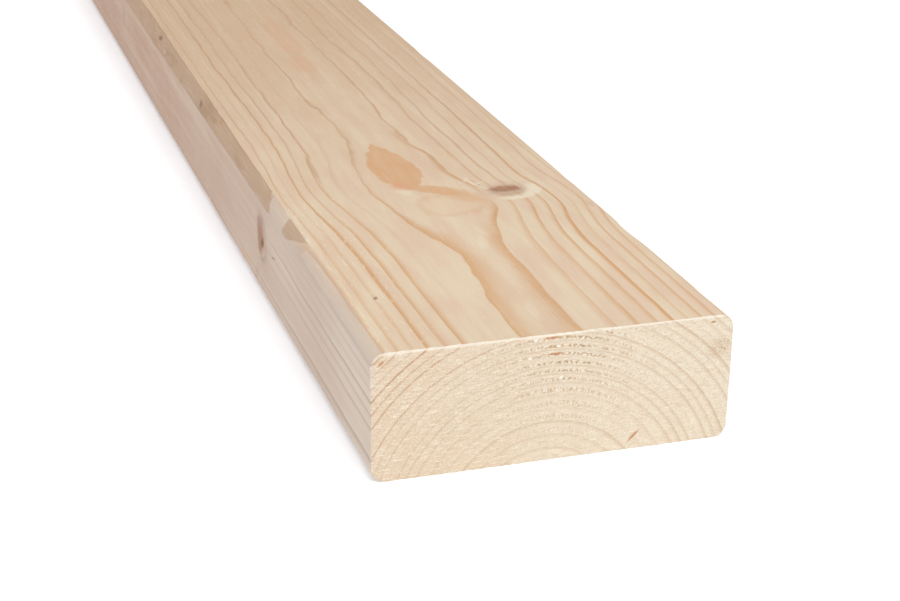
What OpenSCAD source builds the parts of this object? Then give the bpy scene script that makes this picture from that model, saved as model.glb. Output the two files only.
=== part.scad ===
// Planed softwood plank with eased arrises and a thin strip of wane along one of them.
// Length runs along X, width along Y and thickness along Z. The plank lies flat on
// Z = 0 with its footprint centred on the origin. The butt end faces +X.

/* [Section] */
// Width across the broad faces, mm
plank_width = 125; // [75:1:225]
// Thickness between the broad faces, mm
plank_thickness = 45; // [32:1:75]
// Radius planed on each of the four long arrises, mm
arris_radius = 5; // [2:0.5:8]

/* [Length] */
// Length between the two sawn ends, mm
plank_length = 1800; // [900:100:5400]

/* [Log] */
// Distance of the log's centre from the plank's centreline, towards +Y, mm
log_offset = 4; // [2:0.5:12]
// Depth of the log's centre below the lower broad face, mm
log_depth = 22; // [4:1:60]

/* [Wane] */
// Distance from the butt end to where the wane begins, mm
wane_start = 60; // [30:10:400]
// Depth of the wane at the far end, measured square to its surface, mm
wane_depth = 4; // [1:0.5:6]

/* [Hidden] */
$fn = 96;

pine = [0.86, 0.76, 0.62];

half_length = plank_length / 2;
half_thickness = plank_thickness / 2;
arris_across = plank_width / 2 - arris_radius;
arris_up = half_thickness - arris_radius;

// The log's outer surface just grazes the upper arris on the -Y side where the wane begins.
log_to_arris_y = log_offset + arris_across;
log_to_arris_z = log_depth + half_thickness + arris_up;
wane_angle = atan2(log_to_arris_z, log_to_arris_y);
log_radius = norm([log_to_arris_y, log_to_arris_z]) + arris_radius;

// Beyond that point the log leans inwards, so that the wane deepens evenly to the far end.
log_lean = atan(wane_depth / (plank_length - wane_start));

// Four circles joined by two bars make a rectangle with round corners.
module section() {
    square([plank_width - 2 * arris_radius, plank_thickness], center = true);
    square([plank_width, plank_thickness - 2 * arris_radius], center = true);
    for (across = [-arris_across, arris_across], up = [-arris_up, arris_up])
        translate([across, up])
            circle(r = arris_radius);
}

// Straight stock resting on Z = 0, with its length along X.
module eased_stock() {
    translate([-half_length, 0, half_thickness])
        rotate([90, 0, 90])
            linear_extrude(height = plank_length)
                section();
}

// The round log the plank was sawn from, with its bark off.
module peeled_log() {
    translate([half_length - wane_start, log_offset, -log_depth])
        rotate([-wane_angle, 0, 0])
            rotate([0, 0, -log_lean])
                rotate([0, 90, 0])
                    cylinder(h = 2 * plank_length, r = log_radius, center = true);
}

module plank() {
    color(pine)
        intersection() {
            eased_stock();
            peeled_log();
        }
}

plank();
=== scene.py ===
"""A planed softwood plank lying on a pale studio floor.

Wood is described in millimetres, by s, the distance back from the butt end, y across
and z up. Its growth rings, branches and wane are one set of formulas, which run on
arrays of mesh points for the relief and on shader sockets for the colours.
"""

import math

import bpy
import numpy as np
from mathutils import Matrix, Vector


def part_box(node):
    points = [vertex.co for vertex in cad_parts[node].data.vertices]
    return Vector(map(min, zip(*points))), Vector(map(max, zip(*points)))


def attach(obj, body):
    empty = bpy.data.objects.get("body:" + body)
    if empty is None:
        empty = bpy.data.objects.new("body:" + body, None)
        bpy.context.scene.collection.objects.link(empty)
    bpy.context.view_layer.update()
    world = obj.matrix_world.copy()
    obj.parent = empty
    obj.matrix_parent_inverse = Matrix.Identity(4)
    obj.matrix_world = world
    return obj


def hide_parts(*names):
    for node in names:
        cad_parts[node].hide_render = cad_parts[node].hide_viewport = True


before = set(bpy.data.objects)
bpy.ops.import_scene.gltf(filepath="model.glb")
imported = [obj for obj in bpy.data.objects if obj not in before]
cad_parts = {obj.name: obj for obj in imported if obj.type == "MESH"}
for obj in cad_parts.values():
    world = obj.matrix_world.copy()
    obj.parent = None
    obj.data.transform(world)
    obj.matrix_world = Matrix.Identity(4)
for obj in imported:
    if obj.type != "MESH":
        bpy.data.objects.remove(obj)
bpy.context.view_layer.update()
low_corner, high_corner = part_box("plank")

MM = 0.001
LENGTH, WIDTH, THICKNESS = ((high_corner - low_corner) / MM)[:]
HALF_WIDTH = WIDTH / 2
ARRIS = 5.0

# The log: its centre line, how far it leans away from the waney arris, and its radius.
LOG_OFFSET, LOG_DEPTH = 4.0, 22.0
WANE_START, WANE_DEPTH = 60.0, 4.0
LOG_TO_ARRIS = (LOG_OFFSET + HALF_WIDTH - ARRIS, LOG_DEPTH + THICKNESS - ARRIS)
WANE_ANGLE = math.atan2(LOG_TO_ARRIS[1], LOG_TO_ARRIS[0])
LOG_RADIUS = math.hypot(*LOG_TO_ARRIS) + ARRIS
LOG_LEAN = WANE_DEPTH / (LENGTH - WANE_START)

# The pith runs below the plank. It drifts sideways and rises and falls a little.
PITH_ACROSS, PITH_BELOW = -4.0, 22.0
PITH_DRIFT, PITH_RISE = 2.5, 0.74
RING_SKEW = 0.03

# Rings are wide near the pith and narrow past RING_TURN, where RING_COUNT have grown.
RING_WIDE, RING_NARROW = 4.79, 2.88
RING_TURN, RING_BLEND, RING_COUNT = 50.05, 1.6, 8.82

# Branches: where each leaves the pith, its angle from upright towards +Y in degrees, its
# radius at BRANCH_REACH from the pith, how brown it is, and how pale the rim on one side,
# which also makes the brown heart narrower.
BRANCHES = [
    (138.8, 27.6, 5.6, 0.9, 1.0),
    (161.0, -51.5, 7.2, 1.0, 0.0),
    (528.0, -50.0, 4.2, 0.35, 0.0),
    (556.0, 58.0, 5.5, 0.9, 0.2),
    (806.0, -22.0, 6.0, 0.9, 0.4),
    (828.0, 44.0, 7.0, 1.0, 0.3),
    (1124.0, 10.0, 7.5, 0.9, 0.5),
    (1146.0, -57.0, 5.0, 0.8, 0.1),
    (1452.0, -33.0, 6.5, 1.0, 0.4),
    (1478.0, 52.0, 5.0, 0.8, 0.2),
]
BRANCH_REACH = 75.0
BRANCH_TILT = 0.10

# Swellings of the rings round branches: place, length, angle, width in degrees, amount.
SWELLS = [
    (125.0, 25.0, 38.0, 20.0, 3.1),
    (155.0, 40.0, -25.0, 18.0, 2.6),
    (140.0, 45.0, 19.0, 7.0, 1.4),
    (72.0, 32.0, -5.0, 9.0, -0.7),
]
SWELLS += [(place, 30.0, angle, 15.0, 2.8) for place, angle, *_ in BRANCHES[2:]]


# ---------------------------------------------------------------- arithmetic on sockets

class Field:
    """A number worked out by shader nodes. Arithmetic on it adds Math nodes to its tree."""

    def __init__(self, socket):
        self.socket = socket
        self.tree = socket.id_data

    def __add__(self, other):
        return calculate("ADD", self, other)

    def __sub__(self, other):
        return calculate("SUBTRACT", self, other)

    def __rsub__(self, other):
        return calculate("SUBTRACT", other, self)

    def __mul__(self, other):
        return calculate("MULTIPLY", self, other)

    def __truediv__(self, other):
        return calculate("DIVIDE", self, other)

    def __rtruediv__(self, other):
        return calculate("DIVIDE", other, self)

    def __pow__(self, other):
        return calculate("POWER", self, other)

    __radd__ = __add__
    __rmul__ = __mul__


def connect(value, slot):
    """Puts a Field, or a plain number or colour, into a node's input."""
    if isinstance(value, Field):
        slot.id_data.links.new(value.socket, slot)
    else:
        slot.default_value = value


def calculate(operation, *values):
    tree = next(v.tree for v in values if isinstance(v, Field))
    node = tree.nodes.new("ShaderNodeMath")
    node.operation = operation
    for value, slot in zip(values, node.inputs):
        connect(value, slot)
    return Field(node.outputs[0])


def square_root(value):
    return calculate("SQRT", value) if isinstance(value, Field) else np.sqrt(value)


def hypotenuse(first, second):
    return square_root(first * first + second * second)


def sine(value):
    return calculate("SINE", value) if isinstance(value, Field) else np.sin(value)


def exponential(value):
    return calculate("EXPONENT", value) if isinstance(value, Field) else np.exp(value)


def size_of(field):
    return calculate("ABSOLUTE", field)


def larger(first, second):
    """The larger of two numbers, of which at least one is a Field."""
    return calculate("MAXIMUM", first, second)


def angle_of(across, up):
    """Angle from upright, in degrees."""
    if isinstance(across, Field):
        return calculate("ARCTAN2", across, up) * (180 / math.pi)
    return np.degrees(np.arctan2(across, up))


def fraction(value):
    return calculate("FRACT", value) if isinstance(value, Field) else value - np.floor(value)


def whole(field):
    return calculate("FLOOR", field)


def smooth(value, start, end):
    """0 before start and 1 past end, with a soft step between. start may be the larger."""
    if not isinstance(value, Field):
        t = np.clip((value - start) / (end - start), 0, 1)
        return t * t * (3 - 2 * t)
    node = value.tree.nodes.new("ShaderNodeMapRange")
    node.interpolation_type = "SMOOTHSTEP"
    for name, number in (("Value", value), ("From Min", start), ("From Max", end)):
        connect(number, node.inputs[name])
    return Field(node.outputs["Result"])


def hill(*offsets):
    """1 where every offset is 0, falling away smoothly round it."""
    return exponential(sum(offset * offset for offset in offsets) * -1.0)


# ---------------------------------------------------------------- the wood's anatomy

def from_pith(s, y, z):
    """Offsets from the pith, across and up."""
    across = y - PITH_ACROSS - PITH_DRIFT * sine(s / 600) ** 2
    up = z + PITH_BELOW - PITH_RISE * sine(s / 207)
    return across, up


def ring_age(s, y, z, swells=SWELLS):
    """Growth rings counted out from the pith. Swellings push them outwards."""
    across, up = from_pith(s, y, z)
    radius = hypotenuse(across, up) - RING_SKEW * across
    angle = angle_of(across, up)
    for place, length, direction, width, amount in swells:
        radius = radius - amount * hill((s - place) / length, (angle - direction) / width)
    past = radius - RING_TURN
    soft = hypotenuse(past, RING_BLEND)
    mean = (1 / RING_NARROW + 1 / RING_WIDE) / 2
    return RING_COUNT + past * mean + soft * (1 / RING_NARROW - mean)


def to_branch(s, y, z, station, angle, radius):
    """Offsets from a branch's centre line, lengthwise and sideways, in its own radii."""
    across, up = from_pith(s, y, z)
    sin_a, cos_a = math.sin(math.radians(angle)), math.cos(math.radians(angle))
    out = across * sin_a + up * cos_a
    scale = BRANCH_REACH / (radius * out)
    lengthwise = s - station - BRANCH_TILT * (out - BRANCH_REACH)
    return lengthwise * scale, (across * cos_a - up * sin_a) * scale


def from_log(s, y, z):
    """Offsets from the log's centre line, across and up."""
    past = (s - WANE_START) * LOG_LEAN
    across = y - LOG_OFFSET - past * math.cos(WANE_ANGLE)
    return across, z + LOG_DEPTH + past * math.sin(WANE_ANGLE)


def log_distance(s, y, z):
    """How far a point stands out of the log's surface, negative inside it."""
    return hypotenuse(*from_log(s, y, z)) - LOG_RADIUS


def bark_distance(s, y, z):
    """How far a point stands out of the peeled surface, which is uneven and a bit deeper."""
    deeper = 0.35 * smooth(s, 143, 152) + 0.30 * hill((s - 113) / 13)
    uneven = 0.05 * sine(s / 9.0) + 0.06 * sine(s / 23 + 2.0) + 0.04 * sine(s / 3.9 + y)
    return log_distance(s, y, z) + deeper + uneven * smooth(s, 90, 110)


# ---------------------------------------------------------------- shader building blocks

# A Mix node's sockets, by number, when it mixes colours.
MIX_AMOUNT, MIX_UNDER, MIX_OVER, MIX_RESULT = 0, 6, 7, 2

# How far each whole seed moves a noise, in millimetres.
SEED_STEP = (31.7, 17.3, 11.9)

SPECULAR = 0.3


def colour(red, green, blue):
    return (red, green, blue, 1.0)


class Wood:
    """One material's node tree, with the plank's own coordinates in millimetres."""

    def __init__(self, name):
        self.material = bpy.data.materials.new(name)
        self.material.use_nodes = True
        self.tree = self.material.node_tree
        self.shader = self.tree.nodes["Principled BSDF"]
        where = self.tree.nodes.new("ShaderNodeTexCoord")
        scale = self.tree.nodes.new("ShaderNodeMapping")
        scale.inputs["Location"].default_value = (LENGTH / 2, 0, 0)
        scale.inputs["Scale"].default_value = (-1 / MM, 1 / MM, 1 / MM)
        self.tree.links.new(where.outputs["Object"], scale.inputs["Vector"])
        self.place = scale.outputs["Vector"]
        split = self.tree.nodes.new("ShaderNodeSeparateXYZ")
        self.tree.links.new(self.place, split.inputs[0])
        self.s, self.y, self.z = (Field(out) for out in split.outputs)

    def scaled(self, size, seed, tilt=0.0):
        """The plank's coordinates measured in lumps of the given size."""
        node = self.tree.nodes.new("ShaderNodeMapping")
        node.vector_type = "TEXTURE"
        node.inputs["Location"].default_value = [seed * step for step in SEED_STEP]
        node.inputs["Rotation"].default_value = (math.radians(tilt), 0, 0)
        node.inputs["Scale"].default_value = size
        self.tree.links.new(self.place, node.inputs["Vector"])
        return node.outputs["Vector"]

    def cloudy(self, place, detail):
        """Cloudy noise, 0 to 1, with lumps of size 1 in the coordinates of a socket."""
        node = self.tree.nodes.new("ShaderNodeTexNoise")
        node.inputs["Scale"].default_value = 1.0
        node.inputs["Detail"].default_value = detail
        self.tree.links.new(place, node.inputs["Vector"])
        return Field(node.outputs["Fac"])

    def noise(self, size, seed, detail=2.0, tilt=0.0):
        """Cloudy noise with lumps of that size in millimetres, along, across and up."""
        return self.cloudy(self.scaled(size, seed, tilt), detail)

    def flat_noise(self, first, second, seed):
        """Cloudy noise with lumps of size 1, over two worked-out coordinates."""
        place = self.tree.nodes.new("ShaderNodeCombineXYZ")
        for value, slot in zip((first, second, seed), place.inputs):
            connect(value, slot)
        return self.cloudy(place.outputs[0], 2.0)

    def attribute(self, name):
        """A number that the mesh carries at its points."""
        node = self.tree.nodes.new("ShaderNodeAttribute")
        node.attribute_name = name
        return Field(node.outputs["Fac"])

    def blend(self, amount, under, over):
        """Lays the colour over on the colour under, by amount."""
        node = self.tree.nodes.new("ShaderNodeMix")
        node.data_type = "RGBA"
        connect(amount, node.inputs[MIX_AMOUNT])
        connect(under, node.inputs[MIX_UNDER])
        connect(over, node.inputs[MIX_OVER])
        return Field(node.outputs[MIX_RESULT])

    def finish(self, base, roughness, height):
        """Wires the colour, roughness and relief in millimetres to the shader."""
        bump = self.tree.nodes.new("ShaderNodeBump")
        bump.inputs["Distance"].default_value = MM
        bump.inputs["Strength"].default_value = 1.0
        connect(height, bump.inputs["Height"])
        connect(base, self.shader.inputs["Base Color"])
        connect(roughness, self.shader.inputs["Roughness"])
        self.tree.links.new(bump.outputs["Normal"], self.shader.inputs["Normal"])
        self.shader.inputs["Specular IOR Level"].default_value = SPECULAR
        return self.material


# ---------------------------------------------------------------- colours of the wood

EARLYWOOD = colour(0.720, 0.570, 0.398)
PINKISH = colour(0.695, 0.508, 0.355)
LATEWOOD = colour(0.620, 0.345, 0.155)
LATE_BROWN = colour(0.500, 0.300, 0.175)
# Painted shade: darker, greyer copies of the planed colours for the side by the wane.
SHADED_SIDE_WOOD = colour(0.610, 0.475, 0.360)
SHADED_SIDE_LATE = colour(0.470, 0.345, 0.255)
TAN = colour(0.595, 0.410, 0.260)
# Painted shade: the side's darker tan, for the side by the wane.
SHADED_SIDE_TAN = colour(0.480, 0.280, 0.180)
CREAM = colour(0.780, 0.670, 0.500)
AMBER = colour(0.633, 0.350, 0.167)
PINK = colour(0.680, 0.330, 0.190)
KNOT_HALO = colour(0.470, 0.305, 0.205)
KNOT = colour(0.335, 0.143, 0.068)
BARK = colour(0.130, 0.070, 0.045)
BARK_RING = colour(0.340, 0.235, 0.175)
DARK_OLIVE = colour(0.160, 0.075, 0.010)
WANE = colour(0.450, 0.280, 0.168)
WANE_DARK = colour(0.365, 0.215, 0.110)
# Painted shade on the rounded arris by the wane, mottled with the brown of the log's skin.
ARRIS_SHADE_AND_SKIN = colour(0.525, 0.400, 0.312)
END_WOOD = colour(0.690, 0.595, 0.465)
END_RING = colour(0.500, 0.350, 0.220)
END_WARM = colour(0.635, 0.495, 0.355)
RED_RING = colour(0.440, 0.210, 0.105)
TUFT = colour(0.850, 0.800, 0.690)
TORN = colour(0.440, 0.275, 0.140)
RESIN = colour(0.450, 0.190, 0.060)


# ---------------------------------------------------------------- planed faces

def growth_rings(age, start, steepness, drift=0.0, softness=0.025, extras=()):
    """How much latewood shows: it darkens from start on to the ring's outer edge.

    Softness is the share of a ring in which it ends. Years differ in strength, and drift
    changes how. Extras add strength to single years.
    """
    part, count = fraction(age), whole(age)
    strength = 0.6 + 0.25 * sine(count * 1.44 + 1.4)
    strength = strength + 0.25 * sine(count * 2.92 + 4.9 + drift)
    for year, extra in extras:
        strength = strength + extra * hill((count - year) / 0.5)
    return smooth(part, start, 1.0) ** steepness * smooth(1 - part, 0, softness) * strength


def wandering_age(wood, slow_amount, quick_amount, swells=SWELLS):
    """The ring count, with small wobbles that grow away from the butt end."""
    slow = wood.noise((110, 18, 18), 1.0) - 0.5
    quick = wood.noise((19, 7, 7), 2.0, detail=1.0) - 0.5
    away = smooth(wood.s, 0, 220)
    wobble = slow_amount * slow * away + quick_amount * quick * (0.4 + 0.6 * away)
    return ring_age(wood.s, wood.y, wood.z, swells) + wobble


def oval(along, across, centre, half, turn=0.0):
    """Distance from an oval's centre, 1 at its rim. Turned in degrees."""
    cos_t, sin_t = math.cos(math.radians(turn)), math.sin(math.radians(turn))
    a, b = along - centre[0], across - centre[1]
    long = (a * cos_t + b * sin_t) / half[0]
    short = (b * cos_t - a * sin_t) / half[1]
    return hypotenuse(long, short)


def leaf(along, across, centre, before, after, half):
    """Distance from a leaf's centre, 1 at its outline, which runs to a point at each end."""
    a = along - centre[0]
    reach = larger(a / after, a / -before)
    return reach * reach + size_of((across - centre[1]) / half)


def add_knots(wood, base):
    """Branches cut through: a brown heart in darker wood, and for some a pale rim."""
    wobble = wood.noise((6, 3.5, 3.5), 4.0, detail=3.0) - 0.5
    grain = wood.noise((1.3, 1.3, 1.3), 15.0, detail=2.0) - 0.5
    halo, pale, disc, heart = 0.0, 0.0, 0.0, 0.0
    for station, angle, radius, brown, light in BRANCHES:
        long, side = to_branch(wood.s, wood.y, wood.z, station, angle, radius)
        rim = hypotenuse(long, side) + 0.6 * wobble
        beyond = long - 0.25
        long_pull, side_pull = 1.1 + 0.8 * light, 1.1 - 0.4 * light
        core = square_root(beyond * beyond * long_pull + side * side * side_pull)
        core = core + 0.5 * wobble + 0.9 * grain
        near = smooth(long - 0.9 * side, -0.2, -1.4)
        halo = larger(smooth(rim, 2.3, 0.9), halo)
        pale = larger(smooth(rim, 2.15, 1.9) * near * light, pale)
        disc = larger(smooth(rim, 1.35, 1.0) * brown * (1.0 - 0.35 * light), disc)
        heart = larger(smooth(core, 1.05, 0.55) * brown, heart)
    base = wood.blend(halo * 0.35, base, KNOT_HALO)
    base = wood.blend(pale * smooth(halo, 0.95, 0.5) * 0.8, base, CREAM)
    base = wood.blend(disc * (0.9 + 0.8 * grain), base, KNOT_HALO)
    return wood.blend(heart * (0.9 + 1.2 * grain), base, KNOT), halo, heart


def add_resin(wood, base):
    """Amber wood round the healed branches under the upper face."""
    wobble = 0.5 * (wood.noise((7, 3, 3), 8.0, detail=4.0) - 0.5)
    uneven = 0.55 + 0.55 * wood.noise((14, 3, 3), 9.0, detail=3.0)
    upper = smooth(wood.z, 42, 44.5)
    s, y = wood.s, wood.y
    shadow = oval(s, y, (128, 5), (13.0, 14.5), -12) + 1.5 * wobble
    cap = oval(s, y, (136, 13), (10, 6.5), -35) + 1.5 * wobble
    link = oval(s, y, (145.5, 5), (15.5, 5.0), -58) + wobble
    blade = leaf(s, y, (171, -4.5), 24, 39, 9.6) + wobble
    blush = oval(s, y, (154, -8), (5.0, 3.6)) + wobble
    pale = oval(s, y, (147, -8.5), (5.5, 2.6), -15) + 2.0 * wobble
    smear = oval(s, y, (342, -2), (15, 7)) + wobble
    tail = leaf(s, y, (375, 0), 16, 80, 8.0) + wobble
    base = wood.blend(smooth(shadow, 1.10, 0.92) * upper * 0.30, base, AMBER)
    base = wood.blend(smooth(shadow, 0.95, 0.6) * upper * 0.25, base, CREAM)
    base = wood.blend(smooth(cap, 1.2, 0.5) * upper * 0.46, base, AMBER)
    smears = larger(smooth(smear, 1.2, 0.8), smooth(tail, 1.2, 0.5))
    base = wood.blend(smears * upper * 0.25, base, PINK)
    patches = larger(smooth(link, 1.2, 0.6) * smooth(y, 20, 6), smooth(blade, 1.08, 0.94))
    base = wood.blend(patches * upper * uneven, base, AMBER)
    base = wood.blend(smooth(pale, 1.2, 0.6) * upper * 0.45, base, CREAM)
    return wood.blend(smooth(blush, 1.5, 0.4) * upper * 0.7, base, PINK)


def add_wane(wood, base):
    """The log's own surface, brown and mottled, along one arris, with painted shade on that
    arris and a painted highlight along the upper face's edge.
    """
    ragged = wood.noise((9, 3, 3), 13.0, detail=2.0) - 0.5
    mottle = wood.noise((30, 6, 6), 14.0, detail=3.0)
    stands_out = bark_distance(wood.s, wood.y, wood.z) + 0.5 * ragged
    strip = smooth(wood.s - 3.1 * (wood.y + HALF_WIDTH) + 6 * ragged, 144, 149)
    wane = smooth(stands_out, -0.55, -0.40) * strip
    over, up = wood.y + HALF_WIDTH - ARRIS + ragged, wood.z - THICKNESS + ARRIS
    arris = smooth(over, -0.2, -1.0) * smooth(up, -1.5, 2.5)
    below = THICKNESS - wood.z
    from_near, to_far = wood.s - 101 - 4.0 * below, 129 - 0.6 * below - wood.s
    patch = smooth(from_near + 6 * ragged, 0, 2) * smooth(to_far + 4 * ragged, 0, 1.5)
    patch = patch * arris * smooth(below, 4.6, 4.0)

    # Painted highlight: a pale ragged line along the upper face's edge by the arris, towards
    # the butt end.
    edge_highlight = hill((over - 1.0 + 2 * ragged) / 0.8) * smooth(wood.z, 44, 44.8)
    edge_highlight = edge_highlight * smooth(wood.s, 165, 120) * smooth(ragged, -0.15, 0.1)
    base = wood.blend(edge_highlight * 0.45, base, CREAM)
    # Painted shade on the rounded arris, greyish, mottled with the brown of the log's skin.
    base = wood.blend(arris * (0.35 + 0.5 * mottle), base, ARRIS_SHADE_AND_SKIN)
    old = larger(smooth(mottle, 0.50, 0.70), hill((wood.s - 285) / 12) * 0.9)
    skin = wood.blend(old, WANE, WANE_DARK)
    base = wood.blend(patch * (0.55 + 0.5 * mottle), base, WANE)
    base = wood.blend(wane * (0.75 + 0.3 * mottle), base, skin)
    crack = oval(wood.s, wood.y, (154.4, -59.8), (3.6, 0.8), 50) + ragged
    return wood.blend(smooth(crack, 1.2, 0.4) * arris * 0.75, base, KNOT_HALO), wane * mottle


# Marks on the upper face and on the side by the wane: place along, place across or up,
# half length, half width, turn, strength and colour.
UPPER_MARKS = [
    (144.5, 22.8, 3.8, 0.9, -30.0, 0.55, CREAM),
    (149.5, 20.8, 4.4, 1.0, -12.0, 0.55, CREAM),
    (154.5, 19.4, 3.2, 1.2, 25.0, 0.45, CREAM),
    (149.0, 23.0, 2.6, 0.8, 30.0, 0.40, CREAM),
    (146.0, 21.4, 2.2, 0.6, -25.0, 0.40, KNOT_HALO),
    (152.0, 21.8, 2.6, 0.6, -8.0, 0.45, KNOT_HALO),
    (147.6, 22.6, 0.9, 0.45, -30.0, 0.60, KNOT),
    (86.0, 3.5, 8.0, 2.2, 12.0, 0.35, CREAM),
    (97.0, 6.5, 6.0, 1.6, -10.0, 0.30, CREAM),
    (22.0, -1.0, 9.0, 1.8, 5.0, 0.30, CREAM),
    (115.0, 57.0, 4.0, 1.3, 0.0, 0.25, KNOT_HALO),
    (183.0, -36.2, 18.0, 1.2, 3.0, 0.50, LATE_BROWN),
    (45.0, -48.5, 1.6, 0.8, 20.0, 0.60, BARK),
    (416.0, -59.5, 4.5, 0.9, 0.0, 0.60, BARK),
    (296.0, -61.0, 4.0, 0.8, 10.0, 0.50, BARK),
]
SIDE_MARKS = [
    (164.0, 31.3, 7.6, 2.6, -28.0, 0.45, BARK_RING),
    (159.6, 20.2, 3.6, 2.2, -25.0, 0.20, CREAM),
    (160.6, 17.0, 4.4, 1.1, -8.0, 0.45, BARK_RING),
    (162.8, 22.4, 5.8, 1.5, -37.0, 0.50, KNOT),
    (160.0, 24.4, 3.2, 1.8, -25.0, 0.90, DARK_OLIVE),
    (140.5, 25.0, 3.2, 0.5, -12.0, 0.50, BARK),
    (171.5, 8.0, 6.5, 2.6, -45.0, 0.30, SHADED_SIDE_TAN),
    (195.0, 6.5, 14.0, 1.5, -4.0, 0.40, AMBER),
]


def add_marks(wood, base):
    """Specks, splinters and streaks, and the details of the knot in the side."""
    fuzz = 0.6 * (wood.noise((1.5, 1.2, 1.2), 16.0) - 0.5)
    upper, side = smooth(wood.z, 38, 40), smooth(wood.y, -61, -62)
    for marks, across, face in ((UPPER_MARKS, wood.y, upper), (SIDE_MARKS, wood.z, side)):
        for place, centre, long, wide, turn, strength, tint in marks:
            mark = oval(wood.s, across, (place, centre), (long, wide), turn) + fuzz
            base = wood.blend(smooth(mark, 1.2, 0.5) * face * strength, base, tint)
    return base


def planed_rings(wood, upper, shaded_side):
    """Latewood on the planed faces, weaker by the knot, at the far right and on the side."""
    across, _ = from_pith(wood.s, wood.y, wood.z)
    beyond = smooth(wood.s, 85, 150)
    flat_cut = smooth(size_of(across), 29, 13)
    start = 0.50 + 0.11 * flat_cut + beyond * (0.14 + 0.06 * flat_cut)
    right = smooth(wood.y, 0, 25)
    age = wandering_age(wood, 0.9, 0.35)
    extras = (14, 0.25 * beyond), (15, (0.30 + 0.15 * beyond) * right)
    rings = growth_rings(age, start, 1.2, 0.8 * beyond, 0.025 + 0.04 * beyond, extras)
    calm = 1.0 - 0.95 * hill((wood.s - 134) / 12, (wood.y - 20.5) / 7)
    far_right = smooth(wood.s, 120, 330) * smooth(wood.y, 12, 40)
    faded = 1.0 - larger(0.45 * far_right * upper, 0.45 * shaded_side * beyond)
    return rings * (1.25 - 0.40 * flat_cut) * calm * faded


def planed_colours(wood, rings, shaded_side):
    """Early and late wood with pale streaks, turning tan and brown away from the butt end.
    The tan is partly the wood's own tone and partly painted shade where the light falls off
    along the plank.
    """
    streaks = wood.noise((120, 4, 4), 6.0, detail=3.0)
    clouds = wood.noise((60, 25, 25), 7.0)
    early = wood.blend(smooth(wood.noise((38, 9, 9), 18.0), 0.35, 0.65), EARLYWOOD, PINKISH)
    # Tan further back: partly the wood's own tone, partly painted shade as the light falls
    # off along the plank.
    tan_and_shade_along = smooth(wood.s, 20, 470) + 0.5 * (clouds - 0.5)
    side_tan_and_shade_along = 0.32 * smooth(wood.s, 20, 70) + 0.60 * smooth(wood.s, 60, 420)
    # The side by the wane takes darker, greyer copies of these colours: painted shade.
    side = wood.blend(side_tan_and_shade_along + 0.5 * (clouds - 0.5), SHADED_SIDE_WOOD, SHADED_SIDE_TAN)
    base = wood.blend(shaded_side, wood.blend(tan_and_shade_along, early, TAN), side)
    base = wood.blend(smooth(streaks, 0.45, 0.75) * 0.22, base, CREAM)
    browner = smooth(wood.s, 60, 260) * 0.8 + 0.8 * (clouds - 0.5)
    # Painted shade: darker latewood on the side by the wane.
    late = wood.blend(shaded_side, wood.blend(browner, LATEWOOD, LATE_BROWN), SHADED_SIDE_LATE)
    return wood.blend(rings * (0.15 + 1.05 * streaks) * 1.6, base, late)


def planed_pine():
    """Planed faces: flat-sawn grain, knots, resin and the brown surface of the wane.

    The side by the wane gets darker, greyer copies of the wood's colours: painted shade.
    """
    wood = Wood("planed_pine")
    upper = smooth(wood.z, 41, 45)
    # Painted shade: the side by the wane, which takes darker, greyer colours.
    shaded_side = smooth(wood.y, -54, -61) * (1.0 - upper)
    rings = planed_rings(wood, upper, shaded_side)
    fibres = wood.noise((22, 0.5, 0.5), 5.0, detail=3.0)
    flecks = wood.noise((4.2, 0.9, 0.9), 17.0, detail=3.0)

    base = planed_colours(wood, rings, shaded_side)
    coarse = upper * smooth(wood.y, -28, -52) * smooth(wood.s, 190, 90)
    paler = smooth(flecks, 0.58, 0.74) * (0.08 + 0.22 * upper + 0.60 * coarse)
    base = wood.blend(paler, base, CREAM)
    base = add_resin(wood, base)
    base, halo, heart = add_knots(wood, base)
    base, skin = add_wane(wood, base)
    base = wood.blend(smooth(fibres, 0.46, 0.28) * 0.22, base, TAN)
    base = wood.blend(smooth(fibres, 0.54, 0.72) * 0.22, base, CREAM)
    base = add_marks(wood, base)

    height = 0.04 * rings + 0.05 * fibres + 0.05 * flecks - 0.15 * heart + 0.3 * skin
    return wood.finish(base, 0.60 + 0.14 * fibres - 0.06 * halo, height)


# ---------------------------------------------------------------- sawn ends

# Resin on the butt end: place across and up, half length, half width and turn.
END_SPLITS = [
    (-2.0, 44.0, 3.2, 0.4, 1.0),
    (-0.5, 38.3, 2.8, 0.4, 1.0),
    (54.8, 43.0, 1.0, 0.5, 10.0),
    (-59.2, 42.0, 1.6, 0.5, 38.0),
]
# Pale fibres on the butt end: place across and up.
END_FIBRES = [(-8.0, 43.7), (-9.5, 37.6), (1.5, 29.6)]

# The torn rows lie this share of a ring past its start.
TORN_ROW = 0.30


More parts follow.
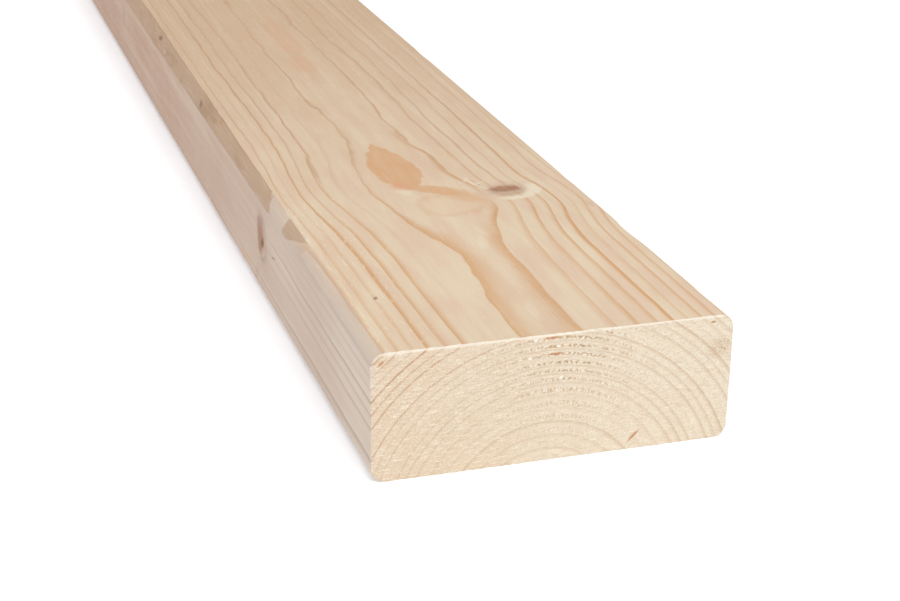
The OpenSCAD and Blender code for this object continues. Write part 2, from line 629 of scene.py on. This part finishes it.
def add_end_marks(wood, base):
    """A resin streak, a small knotty patch, splits and fibres on the butt end."""
    fuzz = 0.7 * (wood.noise((3, 0.9, 0.9), 24.0, detail=2.0) - 0.5)
    butt = smooth(wood.s, 60, 40)
    streak = oval(wood.y, wood.z, (28.4, 5.0), (2.9, 0.55), 44) + fuzz
    base = wood.blend(smooth(streak, 1.3, 0.5) * butt * 0.8, base, RESIN)
    patch = smooth(oval(wood.y, wood.z, (57.4, 33.6), (4.6, 3.4), 25) + fuzz, 1.3, 0.5)
    grit = wood.noise((1.0, 0.75, 0.55), 28.0, detail=1.0)
    base = wood.blend(patch * butt * 0.22, base, TORN)
    base = wood.blend(patch * smooth(grit, 0.58, 0.68) * butt * 0.6, base, KNOT)
    for across, up, long, wide, turn in END_SPLITS:
        split = oval(wood.y, wood.z, (across, up), (long, wide), turn) + fuzz
        base = wood.blend(smooth(split, 1.2, 0.5) * butt * 0.8, base, RESIN)
    for place in END_FIBRES:
        fibre = oval(wood.y, wood.z, place, (0.9, 0.6), 30) + 1.5 * fuzz
        base = wood.blend(smooth(fibre, 1.2, 0.3) * butt * 0.8, base, TUFT)
    return base


def end_colours(wood, rings, radius, left, right):
    """Ring arcs, on warmer wood to the left, where those far from the pith are redder."""
    clouds = wood.noise((30, 9, 9), 23.0)
    base = wood.blend(0.8 * left + 0.9 * (clouds - 0.5), END_WOOD, END_WARM)
    base = wood.blend(rings * (0.54 + 0.40 * left + 0.25 * right), base, END_RING)
    return wood.blend(rings * smooth(radius, 62, 72) * left, base, RED_RING)


def add_scratches(wood, base, saw, radius, turn, left):
    """Saw scratches, and pale rays and dark cells that run outwards from the pith."""
    rays = wood.flat_noise(turn * 2.4, radius / 2.0, 20.0)
    cells = wood.flat_noise(turn * 1.6, radius * 1.5, 21.0)
    base = wood.blend(smooth(saw, 0.54, 0.72) * (0.30 + 0.25 * left), base, TUFT)
    base = wood.blend(smooth(saw, 0.46, 0.28) * 0.40, base, END_RING)
    base = wood.blend(smooth(rays, 0.55, 0.75) * (0.15 + 0.20 * left), base, TUFT)
    return wood.blend(smooth(cells, 0.48, 0.30) * 0.4, base, END_RING)


def add_torn_rows(wood, base, age, turn):
    """Tufts and pits in rows along the rings. Also returns how far the tufts stand out."""
    torn = wood.attribute("torn")
    tufts = wood.flat_noise(turn * 0.9, age * 2.2, 25.0)
    pits = wood.flat_noise(turn * 1.15, age * 2.6, 26.0)
    rows = smooth(size_of(fraction(age) - TORN_ROW), 0.26, 0.08)
    middle = hill((wood.y - 4) / 24, (wood.z - 45) / 30)
    base = wood.blend(smooth(tufts, 0.54, 0.64) * rows * middle * 0.9, base, TUFT)
    base = wood.blend(smooth(pits, 0.49, 0.56) * rows * middle * 1.1, base, TORN)
    base = wood.blend(smooth(torn, 0.2, 0.9) * 0.5, base, TORN)
    base = wood.blend(smooth(torn, -0.25, -0.8) * 0.6, base, TUFT)
    return base, rows * middle * tufts


def sawn_end():
    """Sawn ends: ring arcs, rays, saw scratches and torn fibres."""
    wood = Wood("sawn_end")
    left, right = smooth(wood.y, 30, -60), smooth(wood.y, 0, 50)
    age = wandering_age(wood, 0.0, 0.25, ())
    rings = growth_rings(age, 0.62 - 0.20 * right, 1.3 - 0.3 * right)
    across, up = from_pith(wood.s, wood.y, wood.z)
    radius, turn = hypotenuse(across, up), angle_of(across, up)
    pores = wood.noise((2, 0.32, 0.32), 22.0, detail=2.0)
    saw = wood.noise((2, 4.5, 0.40), 27.0, detail=2.0, tilt=5.0)

    base = end_colours(wood, rings, radius, left, right)
    base = add_scratches(wood, base, saw, radius, turn, left)
    base, raised = add_torn_rows(wood, base, age, turn)
    base = wood.blend(smooth(pores, 0.53, 0.70) * 0.40, base, TUFT)
    base = wood.blend(smooth(pores, 0.44, 0.30) * 0.36, base, END_RING)
    edge = smooth(wood.attribute("burr"), 0.1, 0.6) * smooth(size_of(wood.y), 60.5, 58.0)
    base = wood.blend(edge * 0.55, base, TUFT)
    base = add_end_marks(wood, base)

    height = 0.05 * rings + 0.08 * pores + 0.10 * saw + 0.12 * raised
    return wood.finish(base, 0.74 + 0.12 * pores, height)


# ---------------------------------------------------------------- the plank's mesh

# The material slots of the planed faces and of the sawn ends.
PLANED, SAWN = 0, 1

# The long faces' own grid stops this far short of each end, clear of the ends' relief.
END_STRIP = 2.4

# The grid's stretches, each with its start, end and step: along, across and up the plank.
# It is finest on the butt end, the wane and the first 200 mm.
ALONG = [(END_STRIP, 200, 2.2), (200, 500, 6), (500, LENGTH - END_STRIP, 18)]
ACROSS = [(-HALF_WIDTH, -50, 0.625), (-50, 57.5, 1.25), (57.5, HALF_WIDTH, 0.83)]
UP = [(0, ARRIS, 0.83), (ARRIS, 33, 1.27), (33, THICKNESS, 0.6)]

# Edges that turn by more than this, in degrees, are shaded sharp.
SHARP_ANGLE = 32.0

# The map: the long faces take the lower part and the two ends lie side by side above them,
# with gaps. Half its length goes to the stretch near the butt end, which is seen closest.
SIDES_SHARE, CAP_GAP = 0.80, 0.01
CAP_WIDE, CAP_HIGH = 0.48, 0.18
MAP_NEAR = 450.0


def waves(points, size, seed, count=24):
    """Smooth random relief, mostly between -1 and 1, with lumps about size across."""
    lots = np.random.default_rng(seed)
    directions = lots.normal(size=(points.shape[-1], count))
    directions /= np.linalg.norm(directions, axis=0)
    pitch = size * lots.uniform(0.7, 1.6, count)
    turns = points @ (directions * 2 * math.pi / pitch) + lots.uniform(0, 2 * math.pi, count)
    return np.sqrt(2 / count) * np.sin(turns).sum(-1)


def stations(stretches):
    """Positions along a line, from stretches given as (start, end, step)."""
    runs = []
    for start, end, step in stretches:
        count = max(1, round((end - start) / step))
        runs.append(np.linspace(start, end, count, endpoint=False))
    return np.append(np.concatenate(runs), stretches[-1][1])


def halved(lines):
    """The same positions with one more in the middle of each gap."""
    return np.interp(np.arange(2 * len(lines) - 1) / 2, np.arange(len(lines)), lines)


def ease(y, z):
    """Moves points of a square-edged section onto the one with round arrises."""
    up = z - THICKNESS / 2
    p = np.clip((abs(y) - (HALF_WIDTH - ARRIS)) / ARRIS, 0, 1)
    q = np.clip((abs(up) - (THICKNESS / 2 - ARRIS)) / ARRIS, 0, 1)
    y = y - np.sign(y) * ARRIS * p * (1 - np.sqrt(1 - q * q / 2))
    z = z - np.sign(up) * ARRIS * q * (1 - np.sqrt(1 - p * p / 2))
    return y, z


def edge_distance(y, z):
    """How far inside the section's outline a point lies."""
    across = abs(y) - (HALF_WIDTH - ARRIS)
    up = abs(z - THICKNESS / 2) - (THICKNESS / 2 - ARRIS)
    corner = np.hypot(np.maximum(across, 0), np.maximum(up, 0))
    return ARRIS - corner - np.minimum(np.maximum(across, up), 0)


def rim_indices(columns, levels):
    """Grid indices round a cap's rim, anticlockwise seen from the butt end."""
    rim = [(i, 0) for i in range(columns - 1)]
    rim += [(columns - 1, j) for j in range(levels - 1)]
    rim += [(i, levels - 1) for i in range(columns - 1, 0, -1)]
    rim += [(0, j) for j in range(levels - 1, 0, -1)]
    return np.array(rim)


def butt_relief(y, z):
    """The butt end's depth in millimetres, how torn it is, and its burred upper edge."""
    flat = np.stack([y, z], -1)
    age = ring_age(0 * y, y, z, ())
    rows = smooth(abs(fraction(age) - TORN_ROW), 0.24, 0.05)
    region = hill((y - 4) / 22, np.maximum(36 - z, 0) / 12)
    arc = np.stack([y / 1.3, age * 2.2], -1)
    cells = waves(arc, 1.0, 5) + 0.5 * waves(arc, 0.55, 6)
    torn = rows * region * np.clip(cells * 1.3, -1, 1.3)
    share = smooth(y, -HALF_WIDTH, HALF_WIDTH)
    upper = smooth(z, THICKNESS / 2, THICKNESS - ARRIS)
    ragged = waves(flat, 3.0, 7) * 0.11 + waves(flat, 11.0, 8) * 0.07
    bevel = 0.22 + upper * (0.85 - 0.40 * share) + ragged
    burr = np.clip((bevel - edge_distance(y, z)) / bevel, 0, 1)
    saw = 0.04 * waves(np.stack([y / 9, z + 0.25 * y], -1), 1.6, 9)
    depth = 0.16 + saw + 0.2 * np.maximum(torn, 0) - 0.12 * np.maximum(-torn, 0)
    return np.maximum(depth + bevel * burr, 0), torn, burr * upper


def far_relief(y, z):
    """The far end's depth in millimetres: saw marks and a small ragged bevel."""
    flat = np.stack([y, z], -1)
    bevel = 0.4 + 0.12 * waves(flat, 4.0, 17)
    burr = np.clip((bevel - edge_distance(y, z)) / bevel, 0, 1)
    saw = 0.05 * waves(np.stack([y / 9, z - 0.2 * y], -1), 1.8, 19)
    return np.maximum(0.14 + saw + bevel * burr, 0), 0 * y, 0 * y


class Shell:
    """Collects the closed plank's points with their masks, and its faces with their maps."""

    def __init__(self):
        self.points, self.masks, self.count = [], [], 0
        self.faces, self.maps, self.finishes = [], [], []

    def add_points(self, s, y, z, torn, burr):
        """Adds points, given as arrays of one shape, and returns their indices."""
        x = LENGTH / 2 - s
        self.points.append(np.stack([x, y, z], -1).reshape(-1, 3) * MM)
        self.masks.append(np.stack([torn, burr], -1).reshape(-1, 2))
        first = self.count
        self.count += s.size
        return first + np.arange(s.size).reshape(s.shape)

    def add_faces(self, corners, u, v, finish):
        """Adds one face a row: its corners' indices, their places on the map, its finish."""
        self.faces += np.stack(corners, -1).tolist()
        self.maps.append(np.stack([np.stack(u, -1), np.stack(v, -1)], -1).reshape(-1, 2))
        self.finishes += [finish] * len(corners[0])

    def mesh(self, name):
        """The finished mesh, with smooth faces and sharp edges where it turns a corner."""
        mesh = bpy.data.meshes.new(name)
        mesh.from_pydata(np.concatenate(self.points).tolist(), [], self.faces)
        for column, mask in enumerate(("torn", "burr")):
            layer = mesh.attributes.new(mask, "FLOAT", "POINT")
            layer.data.foreach_set("value", np.concatenate(self.masks)[:, column])
        flat = mesh.uv_layers.new(name="OFBake")
        flat.uv.foreach_set("vector", np.concatenate(self.maps).ravel())
        mesh.polygons.foreach_set("material_index", self.finishes)
        mesh.shade_smooth()
        mesh.set_sharp_from_angle(angle=math.radians(SHARP_ANGLE))
        return mesh


def add_cap(shell, across, up, relief, butt):
    """Adds one end as a grid of points, and returns their indices."""
    flat_y, flat_z = np.meshgrid(across, up, indexing="ij")
    y, z = ease(flat_y, flat_z)
    depth, torn, burr = relief(y, z)
    index = shell.add_points(depth if butt else LENGTH - depth, y, z, torn, burr)
    i, j = (part.ravel() for part in np.indices((len(across) - 1, len(up) - 1)))
    turns = [(i, j), (i + 1, j), (i + 1, j + 1), (i, j + 1)]
    if not butt:
        turns.reverse()
    u = CAP_GAP + 0.5 * (not butt) + CAP_WIDE * (flat_y + HALF_WIDTH) / WIDTH
    v = SIDES_SHARE + CAP_GAP + CAP_HIGH * flat_z / THICKNESS
    corners, across_map, up_map = ([grid[t] for t in turns] for grid in (index, u, v))
    shell.add_faces(corners, across_map, up_map, SAWN)
    return index


def along_map(s):
    """Place along the map, 0 to 1, with MAP_NEAR in the middle."""
    past = (s - MAP_NEAR) / (LENGTH - MAP_NEAR)
    return np.where(s < MAP_NEAR, 0.5 * s / MAP_NEAR, 0.5 + 0.5 * past)


def carve(s, y, z):
    """Moves points of the long faces inwards, for the wane and for dents on the arrises."""
    across, up = from_log(s, y, z)
    depth = np.maximum(bark_distance(s, y, z), 0) / np.hypot(across, up)
    y, z = y - depth * across, z - depth * up

    over_y = np.maximum(abs(y) - HALF_WIDTH + ARRIS, 0)
    over_z = np.maximum(abs(z - THICKNESS / 2) - THICKNESS / 2 + ARRIS, 0)
    rounding = smooth(np.minimum(over_y, over_z), 0, 0.2 * ARRIS)
    dents = waves(np.stack([s / 5, y, z], -1), 7, 31)
    dent = 0.16 * rounding * np.clip(dents - 0.6, 0, 2)
    return y - dent * np.sign(y), z - dent * np.sign(z - THICKNESS / 2)


def add_sides(shell, across, up, near_cap, far_cap):
    """Adds the four long faces between the ends. The near end's grid is twice as fine."""
    rim = rim_indices(len(across), len(up))
    flat_y, flat_z = across[rim[:, 0]], up[rim[:, 1]]
    rows = stations(ALONG)
    rim_y, rim_z = ease(flat_y, flat_z)
    s = rows[:, None] + 0 * rim_y
    y, z = carve(s, rim_y + 0 * s, rim_z + 0 * s)
    index = shell.add_points(s, y, z, 0 * s, 0 * s)
    index = np.vstack([index, far_cap[rim[:, 0], rim[:, 1]]])

    k = np.arange(len(rim))
    after = (k + 1) % len(rim)
    step = abs(flat_y[after] - flat_y) + abs(flat_z[after] - flat_z)
    high = SIDES_SHARE * np.cumsum(step) / step.sum()
    low = high - SIDES_SHARE * step / step.sum()
    reach = along_map(np.append(rows, LENGTH))
    for row in range(len(rows)):
        here, there = index[row], index[row + 1]
        a, b = reach[row] + 0 * low, reach[row + 1] + 0 * low
        corners = [here[k], there[k], there[after], here[after]]
        shell.add_faces(corners, [a, b, b, a], [low, low, high, high], PLANED)

    fine = rim_indices(2 * len(across) - 1, 2 * len(up) - 1)
    edge = near_cap[fine[:, 0], fine[:, 1]]
    corners = [edge[2 * k], index[0, k], index[0, after], edge[2 * after], edge[2 * k + 1]]
    a, b = 0 * low, 0 * low + reach[0]
    middle = (low + high) / 2
    shell.add_faces(corners, [a, b, b, a, a], [low, low, high, high, middle], PLANED)


def plank_mesh():
    """The whole plank, closed all round."""
    across, up = stations(ACROSS), stations(UP)
    shell = Shell()
    near_cap = add_cap(shell, halved(across), halved(up), butt_relief, True)
    far_cap = add_cap(shell, across, up, far_relief, False)
    add_sides(shell, across, up, near_cap, far_cap)
    return shell.mesh("pine_plank")


def make_plank():
    plank = bpy.data.objects.new("pine_plank", plank_mesh())
    bpy.context.collection.objects.link(plank)
    for finish in (planed_pine(), sawn_end()):
        plank.data.materials.append(finish)
    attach(plank, "root")
    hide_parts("plank")


# ---------------------------------------------------------------- studio

FLOOR_SIZE = 30.0
FLOOR_WHITE = (0.92, 0.92, 0.92, 1.0)
FLOOR_GLOW, FLOOR_ROUGHNESS = 0.2, 0.9
SKY = (0.60, 0.60, 0.60, 1.0)

# Lamps: place, size, power and colour. The first is the key and the second a cool fill.
LAMPS = [
    ((3.9, 0.1, 3.9), 3.3, 156.0, (1.0, 1.0, 1.0)),
    ((0.6, -2.6, 0.9), 2.4, 25.0, (0.42, 0.66, 1.0)),
]
# They point at the floor under the plank, this far back from the butt end.
LAMP_AIM = 0.2

# The camera stands in front of the butt end, to its left, looking down and a little right.
CAMERA_LENS = 71.87
CAMERA_AHEAD, CAMERA_ACROSS, CAMERA_UP = 491.25, -198.58, 275.54
CAMERA_YAW, CAMERA_PITCH, CAMERA_ROLL = 18.2066, 22.5378, 1.0373


def make_floor():
    half = FLOOR_SIZE / 2
    corners = [(-half, -half, 0), (half, -half, 0), (half, half, 0), (-half, half, 0)]
    mesh = bpy.data.meshes.new("floor")
    mesh.from_pydata(corners, [], [(0, 1, 2, 3)])
    floor = bpy.data.objects.new("floor", mesh)
    bpy.context.collection.objects.link(floor)
    material = bpy.data.materials.new("floor_white")
    material.use_nodes = True
    shader = material.node_tree.nodes["Principled BSDF"]
    shader.inputs["Base Color"].default_value = FLOOR_WHITE
    shader.inputs["Roughness"].default_value = FLOOR_ROUGHNESS
    shader.inputs["Emission Color"].default_value = FLOOR_WHITE
    shader.inputs["Emission Strength"].default_value = FLOOR_GLOW
    mesh.materials.append(material)


def make_lights():
    world = bpy.data.worlds.new("studio")
    world.use_nodes = True
    world.node_tree.nodes["Background"].inputs["Color"].default_value = SKY
    bpy.context.scene.world = world
    for place, size, power, tint in LAMPS:
        light = bpy.data.lights.new("softbox", "AREA")
        light.shape = "DISK"
        light.size = size
        light.energy = power
        light.color = tint
        lamp = bpy.data.objects.new("softbox", light)
        bpy.context.collection.objects.link(lamp)
        lamp.location = place
        aim = Vector((high_corner.x - LAMP_AIM, 0, 0)) - lamp.location
        lamp.rotation_euler = aim.to_track_quat("-Z", "Y").to_euler()


def make_camera():
    lens = bpy.data.cameras.new("camera")
    lens.lens = CAMERA_LENS
    camera = bpy.data.objects.new("camera", lens)
    bpy.context.collection.objects.link(camera)
    yaw, pitch, roll = map(math.radians, (CAMERA_YAW, CAMERA_PITCH, CAMERA_ROLL))
    right = Vector((math.sin(yaw), math.cos(yaw), 0))
    level = Vector((-math.cos(yaw), math.sin(yaw), 0))
    ahead = level * math.cos(pitch) - Vector((0, 0, math.sin(pitch)))
    up = right.cross(ahead)
    leaned_right = right * math.cos(roll) + up * math.sin(roll)
    leaned_up = up * math.cos(roll) - right * math.sin(roll)
    place = Matrix((leaned_right, leaned_up, -ahead)).transposed().to_4x4()
    place.translation = Vector((LENGTH / 2 + CAMERA_AHEAD, CAMERA_ACROSS, CAMERA_UP)) * MM
    camera.matrix_world = place
    bpy.context.scene.camera = camera


make_plank()
make_floor()
make_lights()
make_camera()
bpy.context.scene.view_settings.view_transform = "Standard"
